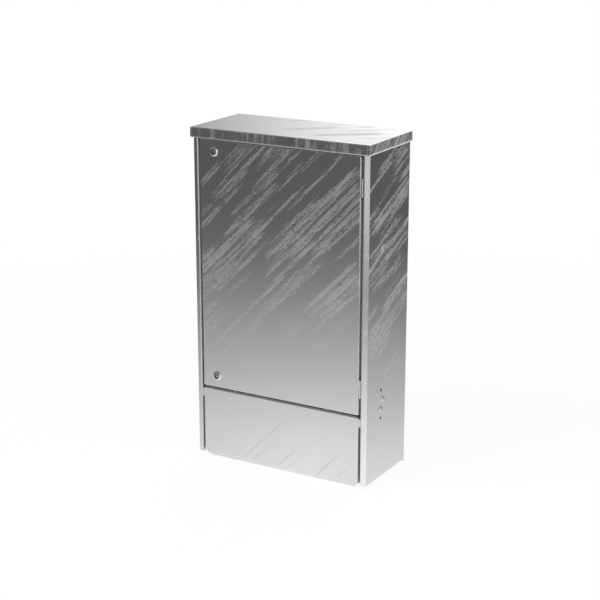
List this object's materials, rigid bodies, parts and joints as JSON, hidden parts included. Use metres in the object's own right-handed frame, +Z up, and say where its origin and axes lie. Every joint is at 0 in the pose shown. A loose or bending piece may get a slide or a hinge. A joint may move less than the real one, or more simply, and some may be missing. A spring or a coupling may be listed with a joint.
{
  "type": "roadside utility cabinet",
  "caption": "Galvanised folded-sheet roadside cable cabinet with a hinged, locking door, a removable lower cover and a fuse rack inside.",
  "frame": {"origin": "on the ground, under the middle of the cabinet's width and depth", "axes": "+X to the right seen from the front, +Y from the door to the back panel, +Z up"},
  "size_m": [0.568, 0.255, 0.98],
  "materials": {
    "galvanised_sheet": "bright galvanised steel sheet with faint diagonal streaks",
    "zinc_hardware": "zinc-plated steel, satin",
    "lock_metal": "satin chromed die casting",
    "seal_rubber": "matt black rubber",
    "copper": "bare drawn copper",
    "fuse_moulding": "dark grey glass-filled moulding",
    "insulator": "red-brown pressed insulating moulding",
    "ceramic": "glazed off-white ceramic",
    "barrier_sheet": "light grey insulating sheet"
  },
  "bodies": {
    "cabinet": {"left_side": "galvanised_sheet", "right_side": "galvanised_sheet", "back_panel": "galvanised_sheet", "roof": "galvanised_sheet", "top_rail": "galvanised_sheet", "sill_rail": "galvanised_sheet", "toe_rail": "galvanised_sheet", "lower_cover": "galvanised_sheet", "cover_hooks": "galvanised_sheet", "left_upright": "galvanised_sheet", "right_upright": "galvanised_sheet", "upper_cross_rail": "galvanised_sheet", "lower_cross_rail": "galvanised_sheet", "neutral_rail": "galvanised_sheet", "cable_clamp_rail": "galvanised_sheet", "back_rivets": "zinc_hardware", "roof_studs": "zinc_hardware", "roof_nuts": "zinc_hardware", "upper_hinge_frame_leaf": "zinc_hardware", "lower_hinge_frame_leaf": "zinc_hardware", "hinge_pins": "zinc_hardware", "hinge_frame_rivets": "zinc_hardware", "cover_screws": "zinc_hardware", "side_bolts": "zinc_hardware", "side_nuts": "zinc_hardware", "cross_rail_bolts": "zinc_hardware", "bar_screws": "zinc_hardware", "top_phase_bar": "copper", "middle_phase_bar": "copper", "bottom_phase_bar": "copper", "neutral_bar": "copper", "fuse_contacts": "copper", "fuse_base_1": "fuse_moulding", "fuse_base_2": "fuse_moulding", "fuse_base_3": "fuse_moulding", "fuse_base_4": "fuse_moulding", "left_bar_holder": "insulator", "right_bar_holder": "insulator", "neutral_insulators": "insulator", "fuse_links_1": "ceramic", "fuse_links_2": "ceramic", "fuse_links_3": "ceramic", "fuse_links_4": "ceramic", "phase_barriers": "barrier_sheet"},
    "door": {"door": "galvanised_sheet", "door_stiffener": "galvanised_sheet", "door_seal": "seal_rubber", "upper_hinge_door_leaf": "zinc_hardware", "lower_hinge_door_leaf": "zinc_hardware", "hinge_door_rivets": "zinc_hardware", "upper_lock_housing": "lock_metal", "lower_lock_housing": "lock_metal", "lock_nuts": "zinc_hardware"},
    "upper_lock": {"upper_lock_spindle": "lock_metal", "upper_lock_cam": "zinc_hardware", "upper_cam_nut": "zinc_hardware"},
    "lower_lock": {"lower_lock_spindle": "lock_metal", "lower_lock_cam": "zinc_hardware", "lower_cam_nut": "zinc_hardware"}
  },
  "joints": [
    {"name": "door_hinge", "type": "hinge", "parent": "cabinet", "child": "door", "pos_m": [0.25775, -0.12, 0.58], "axis": [0, 0, 1], "range_deg": [0, 120]},
    {"name": "upper_lock_turn", "type": "hinge", "parent": "door", "child": "upper_lock", "pos_m": [-0.208, -0.1225, 0.9155], "axis": [0, 1, 0], "range_deg": [0, 90]},
    {"name": "lower_lock_turn", "type": "hinge", "parent": "door", "child": "lower_lock", "pos_m": [-0.208, -0.1225, 0.255], "axis": [0, -1, 0], "range_deg": [0, 90]}
  ]
}
